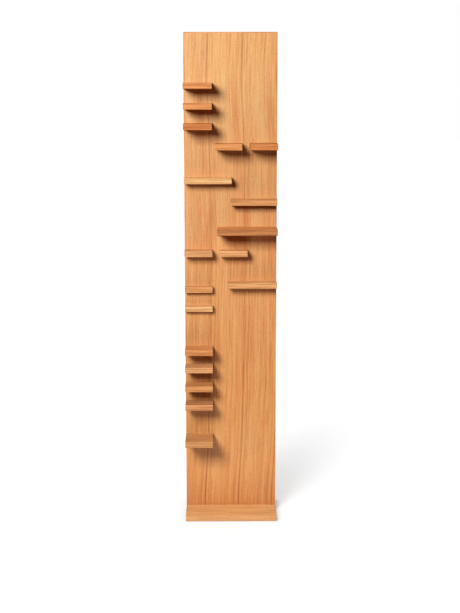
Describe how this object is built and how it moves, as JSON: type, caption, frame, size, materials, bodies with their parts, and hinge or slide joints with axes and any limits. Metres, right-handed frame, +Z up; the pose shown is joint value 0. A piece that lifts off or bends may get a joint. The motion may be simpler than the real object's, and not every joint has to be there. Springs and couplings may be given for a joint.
{
  "type": "spine bookshelf",
  "caption": "Tall narrow oak board standing on a flat foot, with short staggered tabs on its front that carry books in flat piles.",
  "frame": {"origin": "on the floor, under the middle of the foot", "axes": "+X to the right seen from the front, front towards -Y, +Z up"},
  "size_m": [0.34, 0.242, 1.8],
  "materials": {
    "oak_veneer": "oiled oak veneer, grain upright",
    "oak_lipping": "oiled solid oak strip, grain along its length",
    "solid_oak": "oiled solid oak, grain across the width of the shelf",
    "core_board": "raw fibreboard, hidden",
    "beech": "raw beech dowel, hidden",
    "zinc_steel": "zinc-plated steel",
    "felt": "brown felt"
  },
  "bodies": {
    "root": {"board_core": "core_board", "front_veneer": "oak_veneer", "back_veneer": "oak_veneer", "left_lipping": "oak_lipping", "right_lipping": "oak_lipping", "top_lipping": "oak_lipping", "foot_plate": "solid_oak", "foot_screws": "zinc_steel", "foot_dowels": "beech", "felt_pads": "felt", "screw_plugs": "solid_oak", "tab_dowels": "beech", "tab_screws": "zinc_steel", "thin_tab_screws": "zinc_steel", "tab_01_left": "solid_oak", "tab_02_left": "solid_oak", "tab_03_left": "solid_oak", "tab_04_middle": "solid_oak", "tab_05_right": "solid_oak", "tab_06_left_wide": "solid_oak", "tab_07_right_wide": "solid_oak", "tab_08_right_long": "solid_oak", "tab_09_left": "solid_oak", "tab_10_middle": "solid_oak", "tab_11_right_wide": "solid_oak", "tab_12_left_thin": "solid_oak", "tab_13_left_thin": "solid_oak", "tab_14_left": "solid_oak", "tab_15_left": "solid_oak", "tab_16_left": "solid_oak", "tab_17_left": "solid_oak", "tab_18_left": "solid_oak"}
  },
  "joints": []
}
